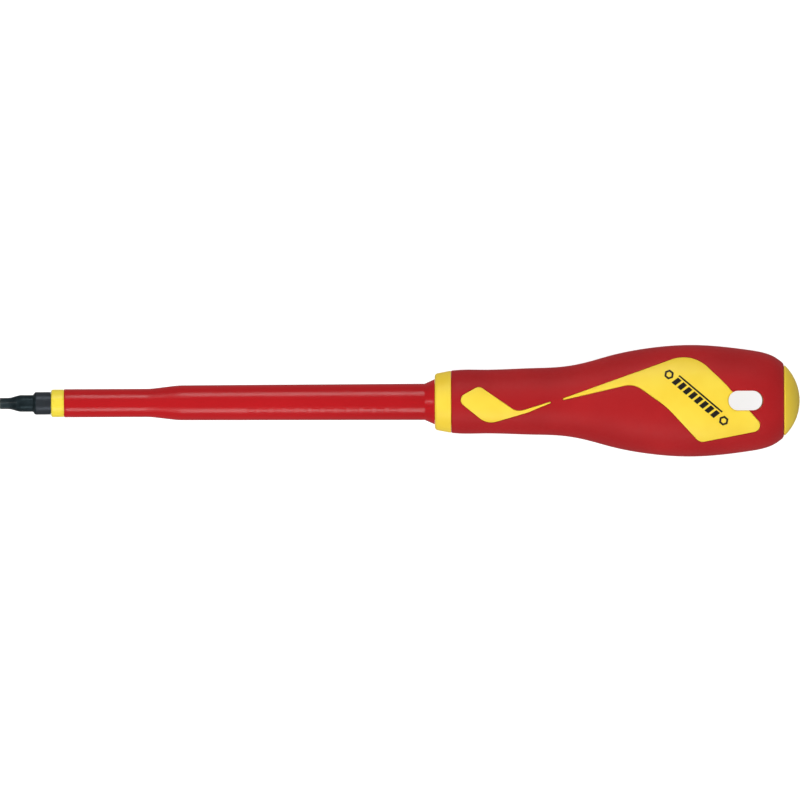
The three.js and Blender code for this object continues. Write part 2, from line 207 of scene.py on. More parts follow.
def rounded(corners, steps=6, closed=True):
    """Corners [x, y, radius] as a line whose corners are arcs, cut short where an edge has no room.

    Each arc is the rational quadratic curve whose middle control point is the corner, with the sine of
    half the corner's angle as that point's weight.
    """
    corners = np.asarray(corners, dtype=float)
    spot, radius = corners[:, :2], corners[:, 2]
    before, after = np.roll(spot, 1, axis=0) - spot, np.roll(spot, -1, axis=0) - spot
    reach_before, reach_after = np.linalg.norm(before, axis=1), np.linalg.norm(after, axis=1)
    before, after = before / reach_before[:, None], after / reach_after[:, None]
    half_angle = np.arccos(np.clip((before * after).sum(axis=1), -1, 1)) / 2
    setback = np.minimum(radius / np.tan(half_angle), np.minimum(reach_before, reach_after) / 2)
    if not closed:
        setback[[0, -1]] = 0
    t = np.linspace(0, 1, steps + 1)[None, :, None]
    start, end = spot + before * setback[:, None], spot + after * setback[:, None]
    pull = 2 * t * (1 - t) * np.sin(half_angle)[:, None, None]
    curve = (1 - t) ** 2 * start[:, None] + pull * spot[:, None] + t ** 2 * end[:, None]
    line = (curve / ((1 - t) ** 2 + pull + t ** 2)).reshape(-1, 2)
    step = np.linalg.norm(np.diff(line, axis=0), axis=1)
    last_is_new = not closed or np.linalg.norm(line[-1] - line[0]) > 1e-6
    return line[np.append(step > 1e-6, last_is_new)]


def refined(line, spacing, closed=True):
    """The same line with points no further apart than spacing, its own corners kept."""
    ends = np.vstack([line[1:], line[:1]]) if closed else line[1:]
    starts = line if closed else line[:-1]
    pieces = [
        start + (end - start) * np.linspace(0, 1, count, endpoint=False)[:, None]
        for start, end, count in zip(starts, ends, counts_between(starts, ends, spacing))
    ]
    return np.vstack(pieces if closed else [*pieces, line[-1:]])


def counts_between(starts, ends, spacing):
    """How many steps of at most spacing each stretch takes."""
    return np.maximum(1, np.ceil(np.linalg.norm(ends - starts, axis=1) / spacing)).astype(int)


def turned(name, profile, sides=144, closed=True):
    """Solid of revolution about X: each [x, radius] of the profile swept through sides equal angles.

    A closed profile makes a ring. An open one starts and ends on the axis, where one point shuts it.
    """
    angle = np.arange(sides) * 2 * math.pi / sides
    inner = profile if closed else profile[1:-1]
    x = np.repeat(inner[:, :1], sides, axis=1)
    y, z = inner[:, 1:] * np.cos(angle), inner[:, 1:] * np.sin(angle)
    points = np.stack([x, y, z], axis=-1).reshape(-1, 3)
    faces = grid_faces(len(inner), sides, close_rows=closed)[:, ::-1].tolist()
    if not closed:
        points, faces = close_poles(points, faces, profile[0, 0], profile[-1, 0], len(inner), sides)
    return build(name, points, faces)


def close_poles(points, faces, first_x, last_x, rows, sides):
    """Adds a point on the axis before the first ring and after the last, and fans to them."""
    first, last = len(points), len(points) + 1
    points = np.vstack([points, [[first_x, 0, 0], [last_x, 0, 0]]])
    j = np.arange(sides)
    right = (j + 1) % sides
    base = (rows - 1) * sides
    fans = np.concatenate([
        np.stack([np.full(sides, first), right, j], axis=1),
        np.stack([np.full(sides, last), base + j, base + right], axis=1),
    ])
    return points, faces + fans.tolist()


# ---------- Handle's surface ----------
def spline_slopes(x, y):
    """Slopes at the points of the smoothest cubic curve through them, with free ends."""
    gap, rise = np.diff(x), np.diff(y)
    matrix = np.zeros((len(x), len(x)))
    target = np.zeros(len(x))
    inner = np.arange(1, len(x) - 1)
    matrix[inner, inner - 1] = 1 / gap[:-1]
    matrix[inner, inner] = 2 / gap[:-1] + 2 / gap[1:]
    matrix[inner, inner + 1] = 1 / gap[1:]
    target[inner] = 3 * (rise[:-1] / gap[:-1] ** 2 + rise[1:] / gap[1:] ** 2)
    matrix[0, :2], target[0] = [2, 1], 3 * rise[0] / gap[0]
    matrix[-1, -2:], target[-1] = [1, 2], 3 * rise[-1] / gap[-1]
    return np.linalg.solve(matrix, target)


FORM_SLOPES = spline_slopes(GRIP_FORM[:, 0], GRIP_FORM[:, 1])


def rise_at(x):
    """Share of the rise from neck to belly at x mm: a cubic curve through the form's points."""
    along = np.clip((np.asarray(x, dtype=float) - GRIP_START) / (GRIP_END - GRIP_START), 0, 1)
    knots, values = GRIP_FORM.T
    i = np.clip(np.searchsorted(knots, along, side="right") - 1, 0, len(knots) - 2)
    gap = knots[i + 1] - knots[i]
    t = (along - knots[i]) / gap
    curve = (
        (2 * t ** 3 - 3 * t ** 2 + 1) * values[i] + (t ** 3 - 2 * t ** 2 + t) * gap * FORM_SLOPES[i]
        + (3 * t ** 2 - 2 * t ** 3) * values[i + 1] + (t ** 3 - t ** 2) * gap * FORM_SLOPES[i + 1]
    )
    return np.minimum(curve, 1)


def grip_radius(x):
    """Half-width of the handle at x mm."""
    return NECK_OF_GRIP + (BELLY_RADIUS - NECK_OF_GRIP) * rise_at(x)


def section(x, sunk=0.0):
    """Half-width, half-height and exponent of the handle's section at x mm, sunk mm below its surface.

    The section is |y/a|^n + |z/b|^n = 1. It is a circle at the neck, and at the belly its height is
    less than its width and its exponent is a little over 2.
    """
    rise = rise_at(x)
    half_width = grip_radius(x) - sunk
    half_height = half_width * (1 - (1 - BELLY_HEIGHT / BELLY_RADIUS) * rise)
    return half_width, half_height, 2 + BELLY_SQUARENESS * rise


def on_handle(x, turn, sunk=0.0):
    """Point of the handle's surface at x mm and an angle from the top."""
    half_width, half_height, power = section(x, sunk)
    sine, cosine = np.abs(np.sin(turn)), np.abs(np.cos(turn))
    reach = ((sine / half_width) ** power + (cosine / half_height) ** power) ** (-1 / power)
    return np.stack([x + 0 * reach, reach * np.sin(turn), reach * np.cos(turn)], axis=-1)


def over_plan(x, y, sunk=0.0):
    """Point of the handle's surface over (x, y) in plan."""
    half_width, half_height, power = section(x, sunk)
    height = half_height * np.maximum(1 - np.abs(y / half_width) ** power, 0) ** (1 / power)
    return np.stack([x, y, height], axis=-1)


def unrolled(plan, sunk=0.0):
    """Plan points [x, y] laid flat: [x, angle from the top times the local half-width]."""
    x, y, height = over_plan(plan[:, 0], plan[:, 1], sunk).T
    return np.stack([x, np.arctan2(y, height) * grip_radius(x)], axis=1)


def window_line(form):
    """A window's outline, laid flat."""
    corners = form.copy()
    corners[:, 0] = GRIP_START + form[:, 0] * (GRIP_END - GRIP_START)
    corners[:, 1] = form[:, 1] * BELLY_RADIUS
    return unrolled(refined(rounded(corners, steps=14), OUTLINE_STEP))


def slot_plan():
    """The hanging slot's outline in plan, a rounded rectangle that is the same on both sides of the axis."""
    corners = [
        [SLOT_CENTRE + along * SLOT_LENGTH / 2, side * SLOT_WIDTH / 2, SLOT_CORNER]
        for along, side in ((-1, -1), (1, -1), (1, 1), (-1, 1))
    ]
    return refined(rounded(corners, steps=12), OUTLINE_STEP)


# ---------- Flat patches wrapped on the handle ----------
def inside(points, line):
    """True for each point inside a closed line, by counting the line's crossings of a ray along +X."""
    hit = np.zeros(len(points), dtype=bool)
    for (x0, y0), (x1, y1) in zip(line, np.roll(line, -1, axis=0)):
        if y0 == y1:
            continue
        crosses = (points[:, 1] < y0) != (points[:, 1] < y1)
        hit ^= crosses & (points[:, 0] < x0 + (points[:, 1] - y0) * (x1 - x0) / (y1 - y0))
    return hit


def distance(points, line):
    """Distance from each point to the nearest stretch of a closed line."""
    ends = np.roll(line, -1, axis=0)
    nearest = np.full(len(points), np.inf)
    for start, end in zip(line, ends):
        along = end - start
        t = np.clip(((points - start) @ along) / (along @ along), 0, 1)
        nearest = np.minimum(nearest, np.linalg.norm(points - start - t[:, None] * along, axis=1))
    return nearest


def offset(line, reach):
    """A closed line moved sideways: outwards for a positive reach, inwards for a negative one."""
    along = np.roll(line, -1, axis=0) - np.roll(line, 1, axis=0)
    normal = np.stack([along[:, 1], -along[:, 0]], axis=1) / np.linalg.norm(along, axis=1)[:, None]
    x, y = line.T
    area = (x * np.roll(y, -1) - np.roll(x, -1) * y).sum()
    return line + normal * reach * np.sign(area)


def edge_drop(away, radius):
    """How far a rounded edge of that radius falls below the surface at a distance from its rim."""
    short = np.clip(radius - away, 0, radius)
    return radius - np.sqrt(np.maximum(radius ** 2 - short ** 2, 0))


def patch(rims, keep, grid):
    """Triangles over a flat region, with rings of points along each rim.

    rims are (line, radius of its edge, side), side being +1 where the region lies outside the line. A line
    with no radius only bounds the region. keep says which points lie in the region, and the grid's points
    are dropped where they crowd a rim's rings.
    """
    free = keep(grid)
    for line, radius, _ in rims:
        free &= distance(grid, line) > (radius + 0.3 * GRID if radius else 0.02)
    groups = [grid[free]]
    for line, radius, side in rims:
        for share in EDGE_RINGS if radius else ():
            ring = offset(line, side * share * radius)
            good = keep(ring) & (distance(ring, line) > share * radius * 0.98)
            for other, other_radius, _ in rims:
                if other is not line:
                    good &= distance(ring, other) > 0.3 * other_radius
            groups.append(ring[good])
    points = np.vstack([*(line for line, _, _ in rims), *groups])
    edges, base = [], 0
    for line, _, _ in rims:
        edges += [(base + i, base + (i + 1) % len(line)) for i in range(len(line))]
        base += len(line)
    flat, _, faces, _, _, _ = delaunay_2d_cdt([Vector(p) for p in points], edges, [], 0, 1e-5)
    flat, faces = np.array([tuple(p) for p in flat]), np.array(faces)
    faces = faces[keep(flat[faces].mean(axis=1))]
    a, b, c = (flat[faces[:, k]] for k in range(3))
    area = (b[:, 0] - a[:, 0]) * (c[:, 1] - a[:, 1]) - (c[:, 0] - a[:, 0]) * (b[:, 1] - a[:, 1])
    faces[area < 0] = faces[area < 0][:, ::-1]
    used, faces = np.unique(faces[np.abs(area) > 1e-7], return_inverse=True)
    return flat[used], faces.reshape(-1, 3)


def border_edges(faces):
    """Directed edges that only one face has."""
    edges = np.stack([faces, np.roll(faces, -1, axis=1)], axis=-1).reshape(-1, 2)
    key = np.sort(edges, axis=1)
    _, first, count = np.unique(key, axis=0, return_index=True, return_counts=True)
    return edges[first[count == 1]]


# ---------- Handle pieces ----------
def upper_half(start, end, front_edge, rear_edge):
    """Border and inner points of the handle's upper half, laid flat: even steps along and round it."""
    line = np.linspace(start, end, 400)
    length = np.concatenate([[0], np.cumsum(np.hypot(np.diff(line), np.diff(grip_radius(line))))])
    even = np.interp(np.linspace(0, length[-1], int(length[-1] / GRID)), length, line)
    even = even[(even > start + front_edge * 1.5) & (even < end - rear_edge * 1.5)]
    x = np.concatenate([start + END_RINGS * front_edge, even, end - END_RINGS[::-1] * rear_edge])
    turn = np.linspace(-math.pi / 2, math.pi / 2, HALF_TURN_STEPS + 1)
    across = grip_radius(x)[:, None] * turn
    grid = np.stack([np.broadcast_to(x[:, None], across.shape), across], axis=-1)
    border = np.vstack([grid[0], grid[1:-1, -1], grid[-1, ::-1], grid[1:-1, 0][::-1]])
    return border, grid[1:-1, 1:-1].reshape(-1, 2)


def thick(outer, inner, faces, open_edges=None):
    """Outer and inner points that share faces, as one shape with walls along the faces' borders."""
    edges = border_edges(faces)
    if open_edges is not None:
        edges = edges[~(open_edges[edges[:, 0]] & open_edges[edges[:, 1]])]
    a, b, deep = edges[:, 0], edges[:, 1], len(outer)
    walls = np.stack([b, a, a + deep, b + deep], axis=1)
    return np.vstack([outer, inner]), [*faces.tolist(), *(faces[:, ::-1] + deep).tolist(), *walls.tolist()]


def wrapped_shell(flat, faces, rims, wall, end_edges=(0, 0)):
    """Outer and inner surface of a patch of the handle, with walls along its borders but the flanks.

    A flat point goes to its place on the handle, sunk by its rims' rounded edges. The slot's edge and
    wall go straight down instead, because the slot is moulded along Z. The inner surface lies a wall deeper.
    """
    x = flat[:, 0]
    turn = flat[:, 1] / grip_radius(x)
    sunk = np.zeros(len(x))
    for line, radius, _ in rims:
        if radius and line is not SLOT_LINE:
            sunk = np.maximum(sunk, edge_drop(distance(flat, line), radius))
    if end_edges[0]:
        sunk = np.maximum(sunk, edge_drop(x - GRIP_START, end_edges[0]))
        sunk = np.maximum(sunk, edge_drop(GRIP_END - x, end_edges[1]))
    to_slot = distance(flat, SLOT_LINE)
    outer = on_handle(x, turn, sunk)
    straight_down = over_plan(x, on_handle(x, turn)[:, 1], wall)
    share = np.clip(1 - to_slot / 3, 0, 1)[:, None]
    inner = on_handle(x, turn, wall) * (1 - share) + straight_down * share
    outer[:, 2] -= edge_drop(to_slot, SLOT_EDGE)
    return thick(outer, inner, faces, np.abs(turn) > math.pi / 2 - 1e-4)


def turned_over(points, faces):
    """The same shape on the other face of the tool, a half turn round the shaft away."""
    return points * [1, -1, -1], faces


def joined(*shapes):
    """Several (points, faces) shapes as one."""
    points, faces, base = [], [], 0
    for some_points, some_faces in shapes:
        points.append(some_points)
        faces.extend([tuple(int(i) + base for i in face) for face in some_faces])
        base += len(some_points)
    return np.vstack(points), faces


WINDOWS = [window_line(FRONT_WINDOW), window_line(REAR_WINDOW)]
SLOT_LINE = unrolled(slot_plan())


def soft_grip():
    """The soft layer: the handle's surface with its windows and slot left out, once for each face."""
    openings = [offset(line, SEAM) for line in WINDOWS]
    border, grid = upper_half(GRIP_START, GRIP_END, GRIP_FRONT_EDGE, GRIP_REAR_EDGE)

    def in_grip(points):
        free = inside(points, border) & ~inside(points, SLOT_LINE)
        for line in openings:
            free &= ~inside(points, line)
        return free

    rims = [(border, 0, -1), (SLOT_LINE, SLOT_EDGE, 1), *((line, SEAM_EDGE, 1) for line in openings)]
    flat, faces = patch(rims, in_grip, grid)
    half = wrapped_shell(flat, faces, rims, GRIP_WALL, (GRIP_FRONT_EDGE, GRIP_REAR_EDGE))
    piece = build("soft_grip_skin", *joined(half, turned_over(*half)), sharp_degrees=50, weld=True)
    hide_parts("soft_grip")
    return piece


def inlays(place, window):
    """One hard inlay for each face: the window's surface, less the slot, with its own rounded edge."""
    rim = offset(window, -SEAM)

    def in_inlay(points):
        return inside(points, rim) & ~inside(points, SLOT_LINE)

    low, high = rim.min(axis=0), rim.max(axis=0)
    x, across = (np.arange(low[k] + GRID / 2, high[k], GRID) for k in range(2))
    grid = np.stack([np.repeat(x, len(across)), np.tile(across, len(x))], axis=1)
    rims = [(rim, SEAM_EDGE, -1)]
    if high[0] > SLOT_CENTRE - SLOT_LENGTH / 2:
        rims.append((SLOT_LINE, SLOT_EDGE, 1))
    upper = wrapped_shell(*patch(rims, in_inlay, grid), rims, GRIP_WALL)
    made = []
    for face, shape in (("upper", upper), ("lower", turned_over(*upper))):
        piece = build(f"{place}_inlay_{face}_pad", *shape, sharp_degrees=50)
        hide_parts(f"{place}_inlay_{face}")
        made.append(piece)
    return made


def handle_core():
    """Hard core: the surface under the soft layer, the slot's walls between its faces, a socket at each end.

    Its upper half is laid flat, cut and wrapped like the soft layer, and turned over for the lower half.
    """
    sunk = GRIP_WALL + SKIN_GAP
    start, end = COLLAR_END - 2.5, GRIP_END - 0.2
    border, grid = upper_half(start, end, 0.3, 0.3)
    slot = unrolled(slot_plan(), sunk)

    def in_core(points):
        return inside(points, border) & ~inside(points, slot)

    flat, faces = patch([(border, 0, -1), (slot, 0, 1)], in_core, grid)
    skin = on_handle(flat[:, 0], flat[:, 1] / grip_radius(flat[:, 0]), sunk)
    on_rim = distance(flat, slot) < 1e-3
    edges = border_edges(faces)
    a, b = edges[on_rim[edges[:, 0]] & on_rim[edges[:, 1]]].T
    wall = np.stack([skin[b], skin[a], skin[a] * [1, 1, -1], skin[b] * [1, 1, -1]], axis=1).reshape(-1, 3)
    slot_wall = wall, np.arange(len(wall)).reshape(-1, 4).tolist()
    turn = np.linspace(-math.pi / 2, 3 * math.pi / 2, 2 * HALF_TURN_STEPS, endpoint=False)
    sleeve_bore, shank_bore = WIDEST_SLEEVE + SLIDE_GAP, SHANK_RADIUS + SLIDE_GAP
    sleeve_stop, steel_stop = SPIGOT_END + FACE_GAP, STEEL_END + FACE_GAP
    front = [[start, sleeve_bore], [sleeve_stop, sleeve_bore], [sleeve_stop, shank_bore],
             [steel_stop, shank_bore], [steel_stop, 0]]
    cap_bore, cap_stop = CAP_SPIGOT_RADIUS + SLIDE_GAP, CAP_START - FACE_GAP
    rear = [[end, cap_bore], [cap_stop, cap_bore], [cap_stop, 0]]
    shape = joined(
        (skin, faces.tolist()),
        turned_over(skin, faces.tolist()),
        slot_wall,
        socket(on_handle(start, turn, sunk), front, turn),
        socket(on_handle(end, turn, sunk), rear, turn),
    )
    piece = build("handle_core_body", *shape, weld=True)
    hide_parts("handle_core")
    return piece


def socket(mouth, profile, turn):
    """Surface from an outline to the rings of a profile [x, radius], the last one on the axis."""
    rings = [
        np.stack([np.full(len(turn), x), radius * np.sin(turn), radius * np.cos(turn)], axis=1)
        for x, radius in profile[:-1]
    ]
    last = len(rings) * len(turn)
    j = np.arange(len(turn))
    fan = np.stack([last + j, last + (j + 1) % len(turn), np.full(len(turn), last + len(turn))], axis=1)
    points = np.vstack([mouth, *rings, [[profile[-1][0], 0, 0]]])
    return points, [*grid_faces(len(rings) + 1, len(turn)).tolist(), *fan.tolist()]


def printed_row():
    """Plain printed row: slanted bars under a line, with a hexagon ring at either end, on the inlay's face.

    Each shape is a plan polygon filled with triangles, laid over the handle's surface a little higher
    than it and thickened a little into it.
    """
    length = np.linalg.norm(PRINT_END - PRINT_START)
    along = (PRINT_END - PRINT_START) / length
    across = np.array([-along[1], along[0]])
    starts = np.linspace(3.3, length - 5.4, 8)
    bars = [[(t, -1.3), (t + 1.4, -1.3), (t + 1.9, 1.0), (t + 0.5, 1.0)] for t in starts]
    line = [(3.6, 1.35), (length - 3.3, 1.35), (length - 3.2, 1.85), (3.7, 1.85)]
    sixths = np.arange(6) * math.pi / 3
    shapes = [[outline] for outline in [*bars, line]]
    for middle in (1.3, length - 1.3):
        shapes.append([
            [(middle + size * math.cos(angle), size * math.sin(angle)) for angle in sixths]
            for size in (1.45, 0.8)
        ])
    plates = []
    for outlines in shapes:
        outlines = [
            refined(PRINT_START + np.array(outline) @ np.array([along, across]), 0.4) for outline in outlines
        ]

        def in_shape(points):
            free = inside(points, outlines[0])
            for hole in outlines[1:]:
                free &= ~inside(points, hole)
            return free

        low, high = outlines[0].min(axis=0), outlines[0].max(axis=0)
        x, y = (np.arange(low[k] + 0.2, high[k], 0.45) for k in range(2))
        grid = np.stack([np.repeat(x, len(y)), np.tile(y, len(x))], axis=1)
        flat, faces = patch([(outline, 0, 1) for outline in outlines], in_shape, grid)
        face = over_plan(flat[:, 0], flat[:, 1])
        plates.append(thick(face + [0, 0, PRINT_LIFT], face - [0, 0, PRINT_DEPTH], faces))
    return build("rear_inlay_printed_row", *joined(*plates), sharp_degrees=50)


def front_collar():
    """Turned hard collar: a flat front with a rounded edge, widening to the grip."""
    bore, counterbore = WIDEST_SLEEVE + SLIDE_GAP, COLLAR_RADIUS - GRIP_WALL - SLIDE_GAP
    step, rear = COLLAR_END - 2.6, GRIP_START - VISIBLE_SEAM
    profile = rounded([
        [COLLAR_START, bore, 0], [COLLAR_START, COLLAR_RADIUS - 0.9, 1.0],
        [rear, COLLAR_RADIUS - 0.02, 0.2], [rear, counterbore, 0], [step, counterbore, 0],
        [step, bore, 0],
    ])
    piece = turned("front_collar_ring", refined(profile, 0.4))
    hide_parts("front_collar")
    return piece


def end_cap():
    """Turned hard cap: a spherical dome over a spigot."""
    height = CAP_END - GRIP_END - VISIBLE_SEAM
    base = CAP_END - height
    sphere = (CAP_RIM ** 2 + height ** 2) / (2 * height)
    angle = np.linspace(math.asin(CAP_RIM / sphere), 0, 40)
    dome = np.stack([CAP_END - sphere * (1 - np.cos(angle)), sphere * np.sin(angle)], axis=1)
    rim = rounded([
        [CAP_START, 0, 0], [CAP_START, CAP_SPIGOT_RADIUS, 0.3], [base, CAP_SPIGOT_RADIUS, 0],
        [base, CAP_RIM, 0.25], [*dome[4], 0],
    ], closed=False)
    profile = np.vstack([refined(rim, 0.4, closed=False)[:-1], dome[4:-1], [[CAP_END, 0]]])
    piece = turned("end_cap_dome", profile, closed=False)
    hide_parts("end_cap")
    return piece


# ---------- Shaft pieces ----------
def taper_line(slim, full):
    """Corners of the taper, a cone from a slim radius to a full one with softly rounded ends."""
    return np.array([[TAPER_START + 0.9, slim, TAPER_ROUNDING], [TAPER_END - 1.1, full, TAPER_ROUNDING]])


def outer_insulation():
    """Turned red sleeve: slim part, taper, full part with draft, flare at the handle, spigot."""
    flare_end, layer = COLLAR_START - VISIBLE_SEAM, INNER_LAYER + 2 * SLIDE_GAP
    slim_bore, full_bore = SLIM_SHANK_RADIUS + layer, SHANK_RADIUS + layer
    profile = rounded(np.vstack([
        [[SLEEVE_START, slim_bore, 0], [SLEEVE_START, SLIM_SLEEVE_RADIUS, 0.3]],
        taper_line(SLIM_SLEEVE_RADIUS, SLEEVE_RADIUS),
        [[FLARE_START, WIDEST_SLEEVE, 0.8], [flare_end, FLARE_RADIUS, 0.1], [flare_end, WIDEST_SLEEVE, 0],
         [SPIGOT_END, WIDEST_SLEEVE, 0], [SPIGOT_END, full_bore, 0]],
        taper_line(slim_bore, full_bore)[::-1],
    ]))
    piece = turned("outer_insulation_sleeve", refined(profile, 1.2))
    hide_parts("outer_insulation")
    return piece


def sleeve_marks():
    """Row of plain raised dashes moulded on the sleeve.

    Each rises from the sleeve by (1 - u^8)(1 - v^6) of its height, u and v running from -1 to 1 over it.
    """
    u, v = np.meshgrid(np.linspace(-1, 1, 29), np.linspace(-1, 1, 15), indexing="ij")
    rise = (MARK_RISE * (1 - u ** 8) * (1 - v ** 6) - 0.01).ravel()
    angle = MARK_TURN + v.ravel() * MARK_WIDTH / 2 / SLEEVE_RADIUS
    faces = grid_faces(*u.shape, close_columns=False)
    marks = []
    for middle in MARK_FIRST + MARK_PITCH * np.arange(MARK_COUNT):
        x = middle + u.ravel() * MARK_LENGTH / 2
        sleeve = SLEEVE_RADIUS + SLEEVE_DRAFT * (x - TAPER_END) / (FLARE_START - TAPER_END)
        outer, inner = (
            np.stack([x, radius * np.sin(angle), radius * np.cos(angle)], axis=1)
            for radius in (sleeve + rise, sleeve - MARK_RISE)
        )
        marks.append(thick(outer, inner, faces))
    piece = build("outer_insulation_raised_dashes", *joined(*marks), sharp_degrees=60)
    return piece


def inner_insulation():
    """Turned yellow layer, thick where it shows as a ring in front of the red one and thin behind it."""
    slim, full = SLIM_SHANK_RADIUS + SLIDE_GAP, SHANK_RADIUS + SLIDE_GAP
    profile = rounded(np.vstack([
        [[RING_START, slim, 0], [RING_START, RING_RADIUS, 0.55], [RING_END, RING_RADIUS, 0.12],
         [RING_END, slim + INNER_LAYER, 0]],
        taper_line(slim + INNER_LAYER, full + INNER_LAYER),
        [[SPIGOT_END, full + INNER_LAYER, 0], [SPIGOT_END, full, 0]],
        taper_line(slim, full)[::-1],
    ]))
    piece = turned("inner_insulation_tube", refined(profile, 1.2))
    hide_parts("inner_insulation")
    return piece


def blade():
    """Steel blade: a turned profile whose radius is cut back by six milled flats.

    A flat lies half the width across flats from the axis, then lifts along the cutter's arc. At an angle
    from the middle of its flat, the cut is that distance over the angle's cosine.
    """
    corner = HEX_ACROSS_FLATS / math.sqrt(3)
    slim_start = RING_START - FACE_GAP
    profile = rounded(np.vstack([
        [[0, 0, 0], [0, corner - TIP_CHAMFER, 0], [TIP_CHAMFER, corner, 0.1], [CONE_START, corner, 2],
         [CONE_END, NECK_RADIUS, 2], [NECK_END + 0.1, NECK_RADIUS, 0.3],
         [SHANK_START - 0.3, SHANK_RADIUS - 0.12, 0.35], [SHANK_START + 0.1, SHANK_RADIUS, 1],
         [slim_start, SHANK_RADIUS, 0], [slim_start, SLIM_SHANK_RADIUS, 0]],
        taper_line(SLIM_SHANK_RADIUS, SHANK_RADIUS),
        [[STEEL_END - SHANK_RADIUS / 3, SHANK_RADIUS, 0], [STEEL_END, SHANK_RADIUS * 2 / 3, 0],
         [STEEL_END, 0, 0]],
    ]), closed=False)
    exposed = profile[:, 0] < RING_START
    profile = np.vstack([
        refined(profile[exposed], 0.07, closed=False), refined(profile[~exposed], 4, closed=False),
    ])
    x, radius = profile[1:-1, 0], profile[1:-1, 1]
    angle = HEX_TURN + math.pi / 6 + np.arange(BLADE_SIDES) * 2 * math.pi / BLADE_SIDES
    past_straight = np.clip(x - HEX_STRAIGHT, 0, CUTTER_RADIUS)
    lift = CUTTER_RADIUS - np.sqrt(CUTTER_RADIUS ** 2 - past_straight ** 2)
    reach = np.where(x > HEX_STRAIGHT + CUTTER_RADIUS, np.inf, HEX_ACROSS_FLATS / 2 + lift)
    from_flat = (angle - HEX_TURN - math.pi / 2 + math.pi / 6) % (math.pi / 3) - math.pi / 6
    cut = np.minimum(radius[:, None], reach[:, None] / np.cos(from_flat)[None, :])
    points = np.stack([
        np.repeat(x[:, None], BLADE_SIDES, axis=1), cut * np.cos(angle), cut * np.sin(angle),
    ], axis=-1).reshape(-1, 3)
    faces = grid_faces(len(x), BLADE_SIDES).tolist()
    points, faces = close_poles(points, faces, profile[0, 0], profile[-1, 0], len(x), BLADE_SIDES)
    piece = build("blade_steel", points, faces, sharp_degrees=20)
    near_corner = np.exp(-np.abs(np.abs(from_flat) - math.pi / 6) / 0.09)
    near_end = np.exp(-x / 0.35)
    worn = (x < 5)[:, None] * near_corner[None, :] + near_end[:, None]
    save_attribute(piece, "ground", np.append(np.repeat(x > SHANK_START, BLADE_SIDES), [False, True]))
    save_attribute(piece, "worn", np.clip(np.append(worn, [1, 0]), 0, 1))
    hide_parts("blade")
    return piece


def save_attribute(piece, name, values):
    """Keeps one number per point on the piece, for its material."""
    layer = piece.data.attributes.new(name, "FLOAT", "POINT")
    layer.data.foreach_set("value", np.asarray(values, dtype=np.float32))


# ---------- Materials ----------
def linear(code):
    """Linear RGBA of an sRGB hex colour."""
    channels = [int(code[i:i + 2], 16) / 255 for i in (0, 2, 4)]
    return (*(c / 12.92 if c <= 0.04045 else ((c + 0.055) / 1.055) ** 2.4 for c in channels), 1.0)


def lumps(size):
    """Scale at which noise on Object coordinates has lumps of about size mm."""
    return 1 / (size * MM)


def add(material, kind, inputs=None, feeds=None, stops=(), **settings):
    """Adds a node with its settings and links.

    An input takes a value or the output socket that feeds it, and feeds is the socket that the node's
    first live output goes to. stops are a colour ramp's positions and hex colours.
    """
    made = material.node_tree.nodes.new(kind)
    for name, value in settings.items():
        setattr(made, name, value)
    for name, value in (inputs or {}).items():
        if isinstance(value, bpy.types.NodeSocket):
            material.node_tree.links.new(value, made.inputs[name])
        else:
            made.inputs[name].default_value = value
    for i, (position, code) in enumerate(stops):
        stop = made.color_ramp.elements[i] if i < 2 else made.color_ramp.elements.new(position)
        stop.position = position
        stop.color = linear(code)
    if feeds is not None:
        material.node_tree.links.new(next(o for o in made.outputs if o.enabled), feeds)
    return made


def new_material(name, values):
    """A new material, its main shader with plain values on its sockets, and its Object coordinates."""
    material = bpy.data.materials.new(name)
    material.use_nodes = True
    shader = material.node_tree.nodes["Principled BSDF"]
    for socket_name, value in values.items():
        shader.inputs[socket_name].default_value = value
    return material, shader, add(material, "ShaderNodeTexCoord").outputs["Object"]


